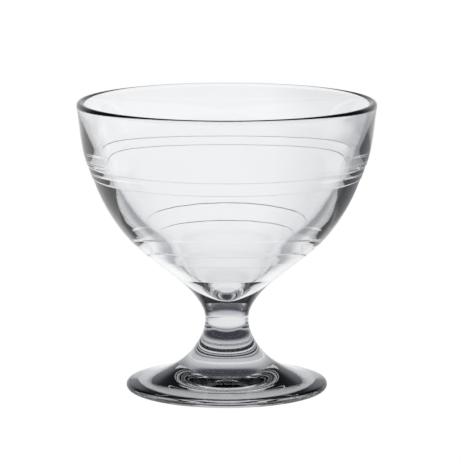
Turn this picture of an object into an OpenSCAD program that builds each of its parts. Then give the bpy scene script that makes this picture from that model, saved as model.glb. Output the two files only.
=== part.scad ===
// Footed dessert glass in heavy pressed clear glass: a deep round bowl with two pairs
// of fine ring lines, a short waisted stem and a domed foot with a hollow underside.
// Origin at the centre of the foot on the table, +Z up. All lengths in millimetres.
// Every slope is the direction of an outline, in degrees from level.

/* [Rim] */
// Outside diameter at the rim
rim_d = 103; // [99:0.5:112]
// Thickness of the rounded rim
rim_w = 2.6; // [2:0.1:3.2]
// Slope of the outside wall just under the rim
rim_slope = 80.5; // [78:0.5:86]
// Slope of the inside wall just under the rim
rim_inner_slope = 80; // [77:0.5:85]

/* [Bowl] */
// Height of the bowl from the stem to the rim
bowl_h = 72; // [68:0.5:78]
// Glass between the stem and the lowest point of the inside
base_wall = 5.7; // [4.5:0.1:7]
// Radius of the round bottom of the inside
bottom_r = 4.5; // [3:0.1:6]
// Slope of the inside just above its round bottom
cone_slope = 34; // [31:0.5:37]
// Diameter of the inside at the crease above its bottom cone
crease_d = 24.8; // [23:0.1:26.5]
// Height of the crease above the stem
crease_h = 14; // [13:0.1:15]
// Slope of the inside just below the crease
crease_below_slope = 34.5; // [32:0.5:37]
// Slope of the inside just above the crease
crease_above_slope = 38; // [36:0.5:42]
// Wall at the lower pair of ring lines, measured level
lower_wall = 8.8; // [6:0.1:9.5]
// Slope of the inside at the lower pair of ring lines
lower_inner_slope = 43; // [40:0.5:46]
// Swell of the inside between the two pairs, measured level from a straight line
middle_swell = 2; // [1:0.1:2.5]
// Slope of the inside midway between the two pairs
middle_inner_slope = 52.5; // [49:0.5:56]
// Wall at the upper pair of ring lines, measured level
upper_wall = 4.6; // [3.5:0.1:5.5]
// Slope of the inside at the upper pair of ring lines
upper_inner_slope = 63.5; // [60:0.5:67]
// Swell of the inside between the upper pair and the rim, measured level from a straight line
high_swell = 1.15; // [0.6:0.05:1.4]
// Slope of the inside midway between the upper pair and the rim
high_inner_slope = 74.5; // [71:0.5:77]

/* [Upper ring lines] */
// Outside diameter at the upper line of the pair
upper_line_d = 96; // [92:0.5:100]
// Distance of the upper line below the rim
upper_line_drop = 21.3; // [18:0.1:24]
// Height between the two lines
upper_pair_gap = 4.5; // [3.5:0.1:6]
// Width of the ledge that makes each line
upper_ledge = 0.25; // [0.15:0.05:0.5]
// Slope of the wall just above the two lines
upper_above_slope = 70; // [68:0.5:74]
// Slope of the band between the two lines
upper_band_slope = 72.5; // [70:0.5:75]
// Slope of the wall just below the two lines
upper_below_slope = 72; // [68:0.5:74]

/* [Lower ring lines] */
// Outside diameter at the upper line of the pair
lower_line_d = 64.7; // [60:0.1:70]
// Height of the upper line above the stem
lower_line_h = 23.2; // [20.5:0.1:26]
// Height between the two lines
lower_pair_gap = 4.4; // [3.5:0.1:5.5]
// Width of the ledge that makes each line
lower_ledge = 0.3; // [0.15:0.05:0.6]
// Slope of the wall just above the two lines
lower_above_slope = 46; // [43:0.5:50]
// Slope of the band between the two lines
lower_band_slope = 43.5; // [40:0.5:47]
// Slope of the wall just below the two lines
lower_below_slope = 42; // [38:0.5:45]

/* [Stem] */
// Height of the stem between the foot and the bowl
stem_h = 15.5; // [14:0.1:18]
// Diameter of the waist
waist_d = 14.9; // [12:0.1:18]
// Height of the waist above the foot
waist_h = 11.8; // [9:0.1:12.5]
// Diameter where the stem meets the bowl
bowl_seam_d = 16.4; // [15.8:0.1:18]
// Slope of the outline where the stem meets the bowl
bowl_seam_slope = 65.5; // [60:0.5:70]

/* [Foot] */
// Diameter of the foot
foot_d = 69.5; // [64:0.5:76]
// Height of the foot, up to the stem
foot_h = 12.5; // [11:0.1:15]
// Radius of the rounded edge
foot_edge_r = 1.3; // [0.9:0.1:1.8]
// Slope of the top just inside the edge
foot_top_slope = 14; // [8:0.5:18]
// Diameter where the foot meets the stem
foot_seam_d = 25.2; // [22:0.1:29]
// Slope of the outline where the foot meets the stem
foot_seam_slope = 50; // [45:0.5:56]
// Width of the flat ring that the glass rests on
rest_w = 2.4; // [1.5:0.1:4]
// Height of the hollow underside
hollow_h = 3.5; // [2:0.1:5]

/* [Hidden] */

// Segments of a full turn, of a curve, of a stretch of the inner wall, of a band between
// two lines, of the round bottom and of a rounded edge
turn_steps = 180;
curve_steps = 12;
wall_steps = 6;
band_steps = 4;
bottom_steps = 5;
edge_steps = 8;
glass_tint = [0.86, 0.89, 0.9, 0.45];
upright = 90;
// A band between two lines swells a little: its slope at each end differs by this from its middle
band_swell = 4;

stem_top = foot_h + stem_h;
rim_top = stem_top + bowl_h;
lip_r = rim_w / 2;
lip_z = rim_top - lip_r;
inside_z = stem_top + base_wall;

// The two points of each pair are the outer corners of its ledges
upper_step = [upper_ledge, 0];
lower_step = [lower_ledge, 0];
upper_line = [upper_line_d / 2, rim_top - upper_line_drop];
upper_pair = upper_line - upper_step - upper_pair_gap * [1 / tan(upper_band_slope), 1];
lower_line = [lower_line_d / 2, stem_top + lower_line_h];
lower_pair = lower_line - lower_step - lower_pair_gap * [1 / tan(lower_band_slope), 1];
bowl_seam = [bowl_seam_d / 2, stem_top];
crease = [crease_d / 2, stem_top + crease_h];

foot_seam = [foot_seam_d / 2, foot_h];
waist = [waist_d / 2, foot_h + waist_h];
edge_x = foot_d / 2 - foot_edge_r;
hollow_r = edge_x - rest_w;

// Points of a smooth curve from p, where it runs at slope a, to q, where it runs at slope b
function bow(p, a, q, b, steps) =
    let (
        reach = norm(q - p) / (3 * pow(cos((b - a) / 4), 2)),
        c = p + reach * [cos(a), sin(a)],
        d = q - reach * [cos(b), sin(b)]
    )
    [for (i = [0 : steps])
        let (t = i / steps, u = 1 - t)
        u ^ 3 * p + 3 * u ^ 2 * t * c + 3 * u * t ^ 2 * d + t ^ 3 * q];

// Points of an arc about c
function arc(c, r, from, to, steps) =
    [for (i = [0 : steps])
        let (a = from + (to - from) * i / steps)
        c + r * [cos(a), sin(a)]];

// Outside of the bowl from the stem up to the rim, with a ledge at each ring line
function bowl_outside() = concat(
    bow(bowl_seam, bowl_seam_slope, lower_pair - lower_step, lower_below_slope, curve_steps),
    bow(lower_pair, lower_band_slope - band_swell,
        lower_line - lower_step, lower_band_slope + band_swell, band_steps),
    bow(lower_line, lower_above_slope, upper_pair - upper_step, upper_below_slope, curve_steps),
    bow(upper_pair, upper_band_slope - band_swell,
        upper_line - upper_step, upper_band_slope + band_swell, band_steps),
    bow(upper_line, upper_above_slope,
        [rim_d / 2 - lip_r, lip_z] + lip_r * [sin(rim_slope), -cos(rim_slope)], rim_slope, curve_steps)
);

// Inside of the bowl from its lowest point up to the rim
function bowl_inside() =
    let (
        cone = [0, inside_z + bottom_r] + bottom_r * [sin(cone_slope), -cos(cone_slope)],
        low = lower_line - [lower_wall, 0],
        upper = upper_pair - [upper_wall, 0],
        top = [rim_d / 2 - lip_r, lip_z] - lip_r * [sin(rim_inner_slope), -cos(rim_inner_slope)],
        middle = (low + upper) / 2 + [middle_swell, 0],
        high = (upper + top) / 2 + [high_swell, 0]
    )
    concat(
        arc([0, inside_z + bottom_r], bottom_r, -upright, cone_slope - upright, bottom_steps),
        bow(cone, cone_slope, crease, crease_below_slope, wall_steps),
        bow(crease, crease_above_slope, low, lower_inner_slope, wall_steps),
        bow(low, lower_inner_slope, middle, middle_inner_slope, wall_steps),
        bow(middle, middle_inner_slope, upper, upper_inner_slope, wall_steps),
        bow(upper, upper_inner_slope, high, high_inner_slope, wall_steps),
        bow(high, high_inner_slope, top, rim_inner_slope, wall_steps)
    );

function reversed(points) = [for (i = [len(points) - 1 : -1 : 0]) points[i]];

// A point that repeats the one before it is left out
function distinct(points) =
    [for (i = [0 : len(points) - 1]) if (i == 0 || points[i] != points[i - 1]) points[i]];

module turned(points) {
    rotate_extrude($fn = turn_steps) polygon(distinct(points));
}

module bowl() {
    color(glass_tint)
        turned(concat(
            [[0, stem_top]],
            bowl_outside(),
            arc([rim_d / 2 - lip_r, lip_z], lip_r, rim_slope - upright, upright + rim_inner_slope, edge_steps),
            reversed(bowl_inside())
        ));
}

module stem() {
    color(glass_tint)
        turned(concat(
            [[0, foot_h]],
            bow(foot_seam, 2 * upright - foot_seam_slope, waist, upright, curve_steps),
            bow(waist, upright, bowl_seam, bowl_seam_slope, curve_steps),
            [[0, stem_top]]
        ));
}

module foot() {
    edge_c = [edge_x, foot_edge_r];
    shoulder = edge_c + foot_edge_r * [sin(foot_top_slope), cos(foot_top_slope)];
    color(glass_tint)
        turned(concat(
            bow([0, hollow_h], 0, [hollow_r, 0], -2 * atan(hollow_h / hollow_r), curve_steps),
            arc(edge_c, foot_edge_r, -upright, upright - foot_top_slope, edge_steps),
            bow(shoulder, 2 * upright - foot_top_slope, foot_seam, 2 * upright - foot_seam_slope, curve_steps),
            [[0, foot_h]]
        ));
}

bowl();
stem();
foot();
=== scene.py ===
"""Looks of the footed dessert glass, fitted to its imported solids.
Outlines are in millimetres, as (distance from the axis, height), and slopes in degrees above level, over 90
where the outline leans in on its way up. Meshes, masks, lamp and camera are in metres."""

import math

import bpy
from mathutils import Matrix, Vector


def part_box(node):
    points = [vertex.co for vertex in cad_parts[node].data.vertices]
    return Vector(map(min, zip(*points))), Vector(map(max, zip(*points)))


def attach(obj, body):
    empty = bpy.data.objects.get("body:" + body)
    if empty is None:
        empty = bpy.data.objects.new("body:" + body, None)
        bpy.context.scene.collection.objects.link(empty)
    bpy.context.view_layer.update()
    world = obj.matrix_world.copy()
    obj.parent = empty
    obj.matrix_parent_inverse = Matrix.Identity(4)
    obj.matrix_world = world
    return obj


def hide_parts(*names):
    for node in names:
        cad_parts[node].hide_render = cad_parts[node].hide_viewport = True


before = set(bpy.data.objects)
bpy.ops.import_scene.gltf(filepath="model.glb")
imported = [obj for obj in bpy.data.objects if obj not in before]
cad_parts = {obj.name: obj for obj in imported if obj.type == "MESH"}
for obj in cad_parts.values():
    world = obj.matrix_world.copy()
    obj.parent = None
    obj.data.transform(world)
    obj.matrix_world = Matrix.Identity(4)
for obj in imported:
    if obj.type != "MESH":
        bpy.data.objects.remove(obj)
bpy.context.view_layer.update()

MM = 0.001

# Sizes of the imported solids
bowl_low, bowl_high = (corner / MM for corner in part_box("bowl"))
foot_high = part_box("foot")[1] / MM
RIM_R = min(bowl_high.x, bowl_high.y)
RIM_TOP = bowl_high.z
STEM_TOP = bowl_low.z
FOOT_R = min(foot_high.x, foot_high.y)
FOOT_TOP = foot_high.z

# Rim: a round about LIP, which the outside and the inside meet at these slopes
RIM_W = 2.6
RIM_SLOPE = 80.5
RIM_INNER_SLOPE = 80.0
LIP = Vector((RIM_R - RIM_W / 2, RIM_TOP - RIM_W / 2))

# Inside of the bowl: a round bottom, a cone with a faint crease, then a wall that thins upward. Between
# the pairs of lines, and between the upper pair and the rim, it swells out from a straight line.
INSIDE_Z = STEM_TOP + 5.7
ROUND_R = 4.5
CONE_SLOPE = 34.0
CREASE = Vector((12.4, STEM_TOP + 14.0))
CREASE_LOW_SLOPE = 34.3
CREASE_HIGH_SLOPE = 38.0
LOWER_WALL = 8.8
LOWER_INNER_SLOPE = 43.0
MIDDLE_SWELL = 2.0
MIDDLE_INNER_SLOPE = 52.5
UPPER_WALL = 4.6
UPPER_INNER_SLOPE = 63.5
HIGH_SWELL = 1.15
HIGH_INNER_SLOPE = 74.5

# Ring lines, in a lower and an upper pair: outer corner of the pair's upper line, height between its two
# lines, width of a ledge, and slope of the wall up to the pair, of the band inside it and of the wall above
LOWER_LINE = Vector((32.35, STEM_TOP + 23.2))
LOWER_GAP = 4.4
LOWER_LEDGE = 0.3
TO_LOWER_SLOPE = 42.0
LOWER_BAND_SLOPE = 43.5
FROM_LOWER_SLOPE = 46.0
UPPER_LINE = Vector((48.0, RIM_TOP - 21.3))
UPPER_GAP = 4.5
UPPER_LEDGE = 0.25
TO_UPPER_SLOPE = 72.0
UPPER_BAND_SLOPE = 72.5
FROM_UPPER_SLOPE = 70.0
BAND_SWELL = 4.0

# Stem and foot
BOWL_SEAM = Vector((8.2, STEM_TOP))
BOWL_SEAM_SLOPE = 65.5
WAIST = Vector((7.45, FOOT_TOP + 11.8))
FOOT_SEAM = Vector((12.6, FOOT_TOP))
FOOT_SEAM_SLOPE = 130.0
FOOT_TOP_SLOPE = 166.0
FOOT_EDGE_R = 1.3
REST_W = 3.4
HOLLOW_H = 3.5

# Two pieces stop this far apart at a seam, half of it above the seam and half below
SEAM_GAP = 0.01
ABOVE, BELOW = 1, -1

# Points round a ring
TURN = 256
# A curve has LEAST_STEPS steps or more, none much over SPACING long or with a turn much over BEND degrees
SPACING = 0.8
BEND = 1.5
LEAST_STEPS = 4
# How far the extra points lie from a ledge's corners and from the ends of a fine curve
EASE = 0.35
FINE = 0.08
# Steps of the rounds
BOTTOM_STEPS = 10
RIM_STEPS = 24
FOOT_EDGE_STEPS = 16

# Points this close are one point, a level this close to a seam is in it, and what is under ZERO is nothing
SAME_POINT = 1e-4
SAME_HEIGHT = 1e-3
ZERO = 1e-6

# Glass: its tint drifts between two colours with its waves, and the thick glass of stem and foot is darker
GLASS_IOR = 1.52
DEEP_TINT = (0.972, 0.977, 0.986)
PALE_TINT = (0.982, 0.987, 0.996)
CLEAR_SHADE = 0.988
THICK_SHADE = 0.8
WAVE_SCALE = 220.0
WAVE_DETAIL = 1.0
WAVE_DEPTH = 0.00002
WAVE_STRENGTH = 0.3

# The darker a shade, the bluer it is: its red and green are these powers of it. EVEN_SHADE leaves a shade
# as it is and only gives it that colour.
RED_FALL = 1.1
GREEN_FALL = 1.07
EVEN_SHADE = ((0, 0), (0.05, 0.05), (0.2, 0.2), (0.5, 0.5), (1, 1))

# Painted shadow of the floor that the glass sees, under the foot and round its rest ring, by distance from
# the axis in tenths of a metre
TENTHS = 10.0
PAINTED_FOOT_SHADOW = ((0.27, 0.74), (0.3, 0.42), (0.34, 0.37), (0.37, 0.72), (0.41, 0.8), (0.5, 1.0))
FLOOR_HALF = 6.0
FLOOR_MATT = (0.8, 0.8, 0.8, 1)
# A hair of air under the foot: without it the glass would be joined to the floor, and its ring would glow
AIR = 0.00005

# Masks of painted shade that dim the floor's shade further, and lifts that take a mask away again, as
# (low, high, strength up to low, strength from high). They go by distance from a place, by place across,
# or by bearing, which is 1 straight behind the glass, 0 beside it and -1 straight before it.
# A painted shadow spot on the floor under the stem, a little behind the axis: its place, and its mask by
# distance from that place
STEM_SHADOW_PLACE = (0, 0.005, 0)
STEM_SHADOW = (0.008, 0.016, 0.1, 1.0)
FAR = (0.4, 2.0, 1.0, 0.86)
FLANK_BY_BEARING = (0.55, 0.8, 0.5, 1.0)
FLANK_LIFT_BEFORE = (-0.3, 0.25, 1.0, 0.0)
FLANK_LIFT_NEAR = (0.035, 0.05, 1.0, 0.0)
FLANK_LIFT_FAR = (0.1, 0.14, 0.0, 1.0)
RIGHT_ACROSS = (0.02, 0.06, 1.0, 0.9)
RIGHT_LIFT_FAR = (0.7, 1.2, 0.0, 1.0)
OUTER_RIGHT_ACROSS = (0.075, 0.105, 1.0, 0.55)
OUTER_LEFT_ACROSS = (-0.12, -0.09, 0.85, 1.0)
OUTER_LIFT_BESIDE = (0.35, 0.6, 1.0, 0.0)
OUTER_LIFT_NEAR = (0.13, 0.165, 1.0, 0.0)
OUTER_LIFT_FAR = (0.4, 0.5, 0.0, 1.0)

# Shade of the wall behind the glass, by the sine of the angle above level, then its strength, by the cosine
# of the angle from straight behind, as a mask, and the dim light of the whole room
WALL_SHADE = (
    (0.0, 0.86), (0.09, 0.75), (0.2, 0.64), (0.26, 0.605),
    (0.32, 0.535), (0.384, 0.395), (0.452, 0.09), (0.53, 0.02),
)
WALL_WIDTH = (0.55, 0.9, 0.08, 1.0)
ROOM = (0.043, 0.046, 0.054, 1)
WHITE = (1, 1, 1, 1)

LAMP_PLACE = (-0.4, -0.5, 1.2)
LAMP_AIM = (0, 0, 0.05)
LAMP_W = 0.8
LAMP_POWER = 8

# Camera, worked out from the photograph: its place, the degrees by which it looks down, the sensor's width
# in millimetres, and the photograph's width and focal length in pixels
CAMERA_PLACE = (0.0011, -1.134, 0.24786)
CAMERA_DOWN = 9.643
SENSOR_W = 36.0
PHOTO_W = 460
FOCAL_LENGTH = 3341.3


def heading(slope):
    """One millimetre along a slope."""
    return Vector((math.cos(math.radians(slope)), math.sin(math.radians(slope))))


def bow(p, a, q, b, fine=False):
    """Points of a smooth curve from p, where it runs at slope a, to q, where it runs at slope b. It is an
    arc if it meets its chord at the same angle at both ends. Fine adds a point close to each end, so that
    the shading there keeps the end's slope."""
    p, q = Vector(p), Vector(q)
    reach = (q - p).length / (3 * math.cos(math.radians(b - a) / 4) ** 2)
    c, d = p + reach * heading(a), q - reach * heading(b)
    steps = max(LEAST_STEPS, round((q - p).length / SPACING), round(abs(b - a) / BEND))
    shares = [i / steps for i in range(steps + 1)]
    if fine:
        shares[1:1] = [FINE / (q - p).length]
        shares[-1:-1] = [1 - shares[1]]
    points = []
    for t in shares:
        u = 1 - t
        points.append(u ** 3 * p + 3 * u * u * t * c + 3 * u * t * t * d + t ** 3 * q)
    return points


def arc(centre, r, start, end, steps):
    """Points of a round from one direction to another."""
    return [centre + r * heading(start + (end - start) * i / steps) for i in range(steps + 1)]


def eased(points):
    """The same curve with a point close to each end, so that the rounded corners of a ledge stay small."""
    start = points[0] + EASE * (points[1] - points[0]).normalized()
    end = points[-1] + EASE * (points[-2] - points[-1]).normalized()
    return [points[0], start] + points[1:-1] + [end, points[-1]]


def line_below(line, gap, ledge, band_slope):
    """Outer corner of the lower line of a pair."""
    return line - Vector((ledge + gap / math.tan(math.radians(band_slope)), gap))


def band(low, high, slope):
    """The stretch between the two lines of a pair, which swells a little."""
    return eased(bow(low, slope - BAND_SWELL, high, slope + BAND_SWELL))


def seam_face(seam, slope, side):
    """Centre and corner of the flat face of the piece that lies ABOVE or BELOW a seam."""
    centre = Vector((0, seam.y + side * SEAM_GAP / 2))
    corner = seam + side * SEAM_GAP / 2 * Vector((1 / math.tan(math.radians(slope)), 1))
    return [centre, corner]


def bowl_outside():
    """From the seam up to the rim, with the ring lines as ledges."""
    lower_pair = line_below(LOWER_LINE, LOWER_GAP, LOWER_LEDGE, LOWER_BAND_SLOPE)
    upper_pair = line_below(UPPER_LINE, UPPER_GAP, UPPER_LEDGE, UPPER_BAND_SLOPE)
    lower_step, upper_step = Vector((LOWER_LEDGE, 0)), Vector((UPPER_LEDGE, 0))
    rim = LIP + RIM_W / 2 * heading(RIM_SLOPE - 90)
    return (
        bow(BOWL_SEAM, BOWL_SEAM_SLOPE, lower_pair - lower_step, TO_LOWER_SLOPE, fine=True)
        + band(lower_pair, LOWER_LINE - lower_step, LOWER_BAND_SLOPE)
        + eased(bow(LOWER_LINE, FROM_LOWER_SLOPE, upper_pair - upper_step, TO_UPPER_SLOPE))
        + band(upper_pair, UPPER_LINE - upper_step, UPPER_BAND_SLOPE)
        + eased(bow(UPPER_LINE, FROM_UPPER_SLOPE, rim, RIM_SLOPE))
    )


def bowl_inside():
    """From the bottom, on the axis, up to the rim."""
    bottom = arc(Vector((0, INSIDE_Z + ROUND_R)), ROUND_R, -90, CONE_SLOPE - 90, BOTTOM_STEPS)
    low = LOWER_LINE - Vector((LOWER_WALL, 0))
    upper_pair = line_below(UPPER_LINE, UPPER_GAP, UPPER_LEDGE, UPPER_BAND_SLOPE)
    upper = upper_pair - Vector((UPPER_WALL, 0))
    rim = LIP - RIM_W / 2 * heading(RIM_INNER_SLOPE - 90)
    middle = (low + upper) / 2 + Vector((MIDDLE_SWELL, 0))
    high = (upper + rim) / 2 + Vector((HIGH_SWELL, 0))
    return (
        bottom
        + bow(bottom[-1], CONE_SLOPE, CREASE, CREASE_LOW_SLOPE, fine=True)
        + bow(CREASE, CREASE_HIGH_SLOPE, low, LOWER_INNER_SLOPE, fine=True)
        + bow(low, LOWER_INNER_SLOPE, middle, MIDDLE_INNER_SLOPE)
        + bow(middle, MIDDLE_INNER_SLOPE, upper, UPPER_INNER_SLOPE)
        + bow(upper, UPPER_INNER_SLOPE, high, HIGH_INNER_SLOPE)
        + bow(high, HIGH_INNER_SLOPE, rim, RIM_INNER_SLOPE)
    )


def ring_places(r, z):
    """Places of a ring's points in metres, or the one place on the axis."""
    if r < ZERO:
        return [(0, 0, z * MM)]
    angles = [2 * math.pi * i / TURN for i in range(TURN)]
    return [(r * math.cos(a) * MM, r * math.sin(a) * MM, z * MM) for a in angles]


def without_repeats(outline):
    points = [outline[0]]
    for p in outline[1:]:
        if (p - points[-1]).length > SAME_POINT:
            points.append(p)
    return points


def faces_between(low, high):
    """Faces from one ring to the next, which are triangles where a ring is the place on the axis."""
    faces = []
    for i in range(TURN):
        j = (i + 1) % TURN
        faces.append(list(dict.fromkeys((low[i], low[j], high[j], high[i]))))
    return faces


def turned(name, outline, seams):
    """A closed mesh turned about Z. Its level faces at a height in seams take the second material, and
    their edges are sharp."""
    points = without_repeats(outline)
    in_seam = [any(abs(p.y - height) < SAME_HEIGHT for height in seams) for p in points]
    verts, rings = [], []
    for r, z in points:
        places = ring_places(r, z)
        rings.append([len(verts) + i % len(places) for i in range(TURN)])
        verts.extend(places)
    faces, flat = [], []
    for k in range(len(rings) - 1):
        level = in_seam[k] and abs(points[k].y - points[k + 1].y) < ZERO
        faces += faces_between(rings[k], rings[k + 1])
        flat += [level] * TURN
    mesh = bpy.data.meshes.new(name)
    mesh.from_pydata(verts, [], faces)
    for face, level in zip(mesh.polygons, flat):
        face.use_smooth = True
        face.material_index = 1 if level else 0
    seam_verts = {v for ring, there in zip(rings, in_seam) if there for v in ring}
    for edge in mesh.edges:
        edge.use_edge_sharp = seam_verts.issuperset(edge.vertices)
    mesh.update()
    piece = bpy.data.objects.new(name, mesh)
    bpy.context.scene.collection.objects.link(piece)
    return piece


def make_bowl():
    seam = seam_face(BOWL_SEAM, BOWL_SEAM_SLOPE, ABOVE)
    rim = arc(LIP, RIM_W / 2, RIM_SLOPE - 90, 90 + RIM_INNER_SLOPE, RIM_STEPS)
    outline = seam + bowl_outside()[1:] + rim + bowl_inside()[::-1]
    return turned("bowl_glass", outline, [seam[0].y])


def make_stem():
    low_seam = seam_face(FOOT_SEAM, FOOT_SEAM_SLOPE, ABOVE)
    high_seam = seam_face(BOWL_SEAM, BOWL_SEAM_SLOPE, BELOW)
    outline = (
        low_seam
        + bow(FOOT_SEAM, FOOT_SEAM_SLOPE, WAIST, 90, fine=True)[1:]
        + bow(WAIST, 90, BOWL_SEAM, BOWL_SEAM_SLOPE, fine=True)[1:-1]
        + high_seam[::-1]
    )
    return turned("stem_glass", outline, [low_seam[0].y, high_seam[0].y])


def make_foot():
    """The hollow is an arc, so it turns by twice the slope of its chord. It ends at the flat ring that the
    glass stands on."""
    seam = seam_face(FOOT_SEAM, FOOT_SEAM_SLOPE, BELOW)
    edge = Vector((FOOT_R - FOOT_EDGE_R, FOOT_EDGE_R))
    edge_top = edge + FOOT_EDGE_R * heading(FOOT_TOP_SLOPE - 90)
    hollow_r = edge.x - REST_W
    outline = (
        bow((0, HOLLOW_H), 0, (hollow_r, 0), -2 * math.degrees(math.atan(HOLLOW_H / hollow_r)))
        + arc(edge, FOOT_EDGE_R, -90, FOOT_TOP_SLOPE - 90, FOOT_EDGE_STEPS)
        + bow(edge_top, FOOT_TOP_SLOPE, FOOT_SEAM, FOOT_SEAM_SLOPE, fine=True)[:-1]
        + seam[::-1]
    )
    return turned("foot_glass", outline, [seam[0].y])


def feed(tree, socket, value):
    """Sets an input to a value, or links it where the value is the output of another node."""
    if isinstance(value, bpy.types.NodeSocket):
        tree.links.new(value, socket)
    else:
        socket.default_value = value


def add(tree, kind, *values, **named):
    """A node with its inputs fed in order and by name."""
    node = tree.nodes.new(kind)
    for socket, value in zip(node.inputs, values):
        feed(tree, socket, value)
    for name, value in named.items():
        feed(tree, node.inputs[name.replace("_", " ")], value)
    return node


def combine(tree, operation, value, *others):
    """One value out of several, by the same operation with each of the others in turn."""
    for other in others:
        node = add(tree, "ShaderNodeMath", value, other)
        node.operation = operation
        value = node.outputs["Value"]
    return value


def distance(tree, place, start=(0, 0, 0)):
    """How far the place is from the start, which is the origin if none is given."""
    node = add(tree, "ShaderNodeVectorMath", place, start)
    node.operation = "DISTANCE"
    return node.outputs["Value"]


def spread(tree, value, low, high, at_low, at_high):
    """at_low where the value is under low, at_high where it is over high, smooth between."""
    node = add(tree, "ShaderNodeMapRange", value, low, high, at_low, at_high)
    node.interpolation_type = "SMOOTHSTEP"
    return node.outputs["Result"]


def ramp(tree, value, stops):
    """The colour of a shade that follows the value from stop to stop, which are (value, shade) each."""
    node = add(tree, "ShaderNodeValToRGB", value)
    elements = node.color_ramp.elements
    while len(elements) < len(stops):
        elements.new(1.0)
    for element, (at, shade) in zip(elements, stops):
        element.position = at
        element.color = (shade ** RED_FALL, shade ** GREEN_FALL, shade, 1)
    return node.outputs["Color"]


def new_material(name):
    material = bpy.data.materials.new(name)
    material.use_nodes = True
    material.node_tree.nodes.clear()
    return material, material.node_tree


def glass_material(name, shade):
    """Clear glass with the faint waves of a pressed piece."""
    material, tree = new_material(name)
    place = add(tree, "ShaderNodeTexCoord").outputs["Object"]
    waves = add(tree, "ShaderNodeTexNoise", Vector=place, Scale=WAVE_SCALE, Detail=WAVE_DETAIL).outputs["Fac"]
    bump = add(tree, "ShaderNodeBump", Strength=WAVE_STRENGTH, Distance=WAVE_DEPTH, Height=waves)
    tint = add(tree, "ShaderNodeMix")
    tint.data_type = "RGBA"
    feed(tree, tint.inputs["Factor"], waves)
    for end, colour in (("A", DEEP_TINT), ("B", PALE_TINT)):
        feed(tree, tint.inputs[end], [part * shade for part in colour] + [1])
    glass = add(tree, "ShaderNodeBsdfPrincipled", IOR=GLASS_IOR, Transmission_Weight=1.0, Roughness=0.0)
    feed(tree, glass.inputs["Base Color"], tint.outputs["Result"])
    feed(tree, glass.inputs["Normal"], bump.outputs["Normal"])
    add(tree, "ShaderNodeOutputMaterial", glass.outputs["BSDF"])
    return material


def seam_material():
    """Where two pieces are fused nothing shows."""
    material, tree = new_material("fused seam")
    through = add(tree, "ShaderNodeBsdfTransparent")
    add(tree, "ShaderNodeOutputMaterial", through.outputs["BSDF"])
    return material


def painted_floor_shade(tree):
    """The floor's colour for the glass, all of it painted: a painted shadow that gathers under the foot, a
    dark painted shadow spot under the stem, and painted shade that dims the floor to the sides and far off."""
    place = add(tree, "ShaderNodeTexCoord").outputs["Object"]
    axes = add(tree, "ShaderNodeSeparateXYZ", place).outputs
    r = distance(tree, place)
    bearing = combine(tree, "DIVIDE", axes["Y"], r)
    # Painted shadow under and round the foot, and a painted shadow spot under the stem
    under = ramp(tree, combine(tree, "MULTIPLY", r, TENTHS), PAINTED_FOOT_SHADOW)
    spot = spread(tree, distance(tree, place, STEM_SHADOW_PLACE), *STEM_SHADOW)
    # Painted shade that dims the floor far off, to the flanks and across
    far = spread(tree, r, *FAR)
    flank = combine(
        tree, "MAXIMUM",
        spread(tree, bearing, *FLANK_BY_BEARING),
        spread(tree, bearing, *FLANK_LIFT_BEFORE),
        spread(tree, r, *FLANK_LIFT_NEAR),
        spread(tree, r, *FLANK_LIFT_FAR),
    )
    right = combine(
        tree, "MAXIMUM",
        spread(tree, axes["X"], *RIGHT_ACROSS),
        spread(tree, r, *RIGHT_LIFT_FAR),
    )
    outer_right = spread(tree, axes["X"], *OUTER_RIGHT_ACROSS)
    outer_left = spread(tree, axes["X"], *OUTER_LEFT_ACROSS)
    outer = combine(
        tree, "MAXIMUM",
        combine(tree, "MULTIPLY", outer_right, outer_left),
        spread(tree, bearing, *OUTER_LIFT_BESIDE),
        spread(tree, r, *OUTER_LIFT_NEAR),
        spread(tree, r, *OUTER_LIFT_FAR),
    )
    strength = combine(tree, "MULTIPLY", flank, far, right, outer, spot, under)
    return ramp(tree, strength, EVEN_SHADE)


def floor_material():
    """Plain white for the camera, with painted shade and painted shadow for what the glass mirrors or lets
    through, and matt for all other light."""
    material, tree = new_material("pale floor")
    path = add(tree, "ShaderNodeLightPath").outputs
    by_glass = combine(tree, "MAXIMUM", path["Is Glossy Ray"], path["Is Transmission Ray"])
    matt = add(tree, "ShaderNodeBsdfDiffuse", FLOOR_MATT)
    # Gives off the floor's painted shade and painted shadow, for the glass
    shaded = add(tree, "ShaderNodeEmission", painted_floor_shade(tree))
    white = add(tree, "ShaderNodeEmission", WHITE)
    unseen = add(tree, "ShaderNodeMixShader", by_glass, matt.outputs[0], shaded.outputs[0])
    floor = add(tree, "ShaderNodeMixShader", path["Is Camera Ray"], unseen.outputs[0], white.outputs[0])
    add(tree, "ShaderNodeOutputMaterial", floor.outputs[0])
    return material


def make_floor():
    corners = [(-1, -1), (1, -1), (1, 1), (-1, 1)]
    mesh = bpy.data.meshes.new("floor")
    mesh.from_pydata([(x * FLOOR_HALF, y * FLOOR_HALF, -AIR) for x, y in corners], [], [(0, 1, 2, 3)])
    floor = bpy.data.objects.new("floor", mesh)
    bpy.context.scene.collection.objects.link(floor)
    mesh.materials.append(floor_material())


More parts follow.
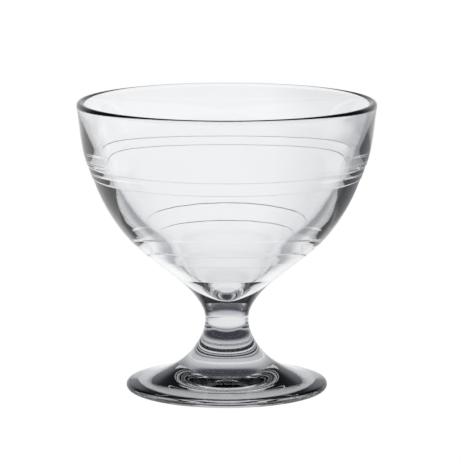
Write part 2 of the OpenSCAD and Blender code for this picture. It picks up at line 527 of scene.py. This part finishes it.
def make_world():
    """White for the camera. The glass sees a pale wall behind it that fades upward, in a dim room."""
    world = bpy.data.worlds.new("studio")
    bpy.context.scene.world = world
    world.use_nodes = True
    tree = world.node_tree
    tree.nodes.clear()
    place = add(tree, "ShaderNodeTexCoord").outputs["Generated"]
    axes = add(tree, "ShaderNodeSeparateXYZ", place).outputs
    wall_colour = ramp(tree, axes["Z"], WALL_SHADE)
    wall = add(tree, "ShaderNodeBackground", wall_colour, spread(tree, axes["Y"], *WALL_WIDTH))
    room = add(tree, "ShaderNodeBackground", ROOM)
    both = add(tree, "ShaderNodeAddShader", wall.outputs[0], room.outputs[0])
    white = add(tree, "ShaderNodeBackground", WHITE)
    seen = add(tree, "ShaderNodeLightPath").outputs["Is Camera Ray"]
    studio = add(tree, "ShaderNodeMixShader", seen, both.outputs[0], white.outputs[0])
    add(tree, "ShaderNodeOutputWorld", studio.outputs[0])


def make_lamp():
    """A soft lamp that doesn't show in the glass."""
    lamp = bpy.data.lights.new("key", "AREA")
    lamp.shape = "DISK"
    lamp.size = LAMP_W
    lamp.energy = LAMP_POWER
    holder = bpy.data.objects.new("key", lamp)
    holder.location = LAMP_PLACE
    holder.rotation_euler = (Vector(LAMP_AIM) - Vector(LAMP_PLACE)).to_track_quat("-Z", "Y").to_euler()
    holder.visible_glossy = False
    holder.visible_transmission = False
    bpy.context.scene.collection.objects.link(holder)


def make_camera():
    camera = bpy.data.cameras.new("camera")
    camera.sensor_width = SENSOR_W
    camera.lens = FOCAL_LENGTH / PHOTO_W * SENSOR_W
    holder = bpy.data.objects.new("camera", camera)
    holder.location = CAMERA_PLACE
    holder.rotation_euler = (math.radians(90 - CAMERA_DOWN), 0, 0)
    bpy.context.scene.collection.objects.link(holder)
    bpy.context.scene.camera = holder


def make_glass():
    """The three pieces, each over its node of the solids."""
    clear = glass_material("clear glass", CLEAR_SHADE)
    thick = glass_material("thick glass", THICK_SHADE)
    seam = seam_material()
    pieces = ((make_bowl(), "bowl", clear), (make_stem(), "stem", thick), (make_foot(), "foot", thick))
    for piece, node, glass in pieces:
        piece.data.materials.append(glass)
        piece.data.materials.append(seam)
        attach(piece, "root")
        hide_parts(node)


make_glass()
make_floor()
make_world()
make_lamp()
make_camera()
bpy.context.scene.view_settings.view_transform = "Standard"
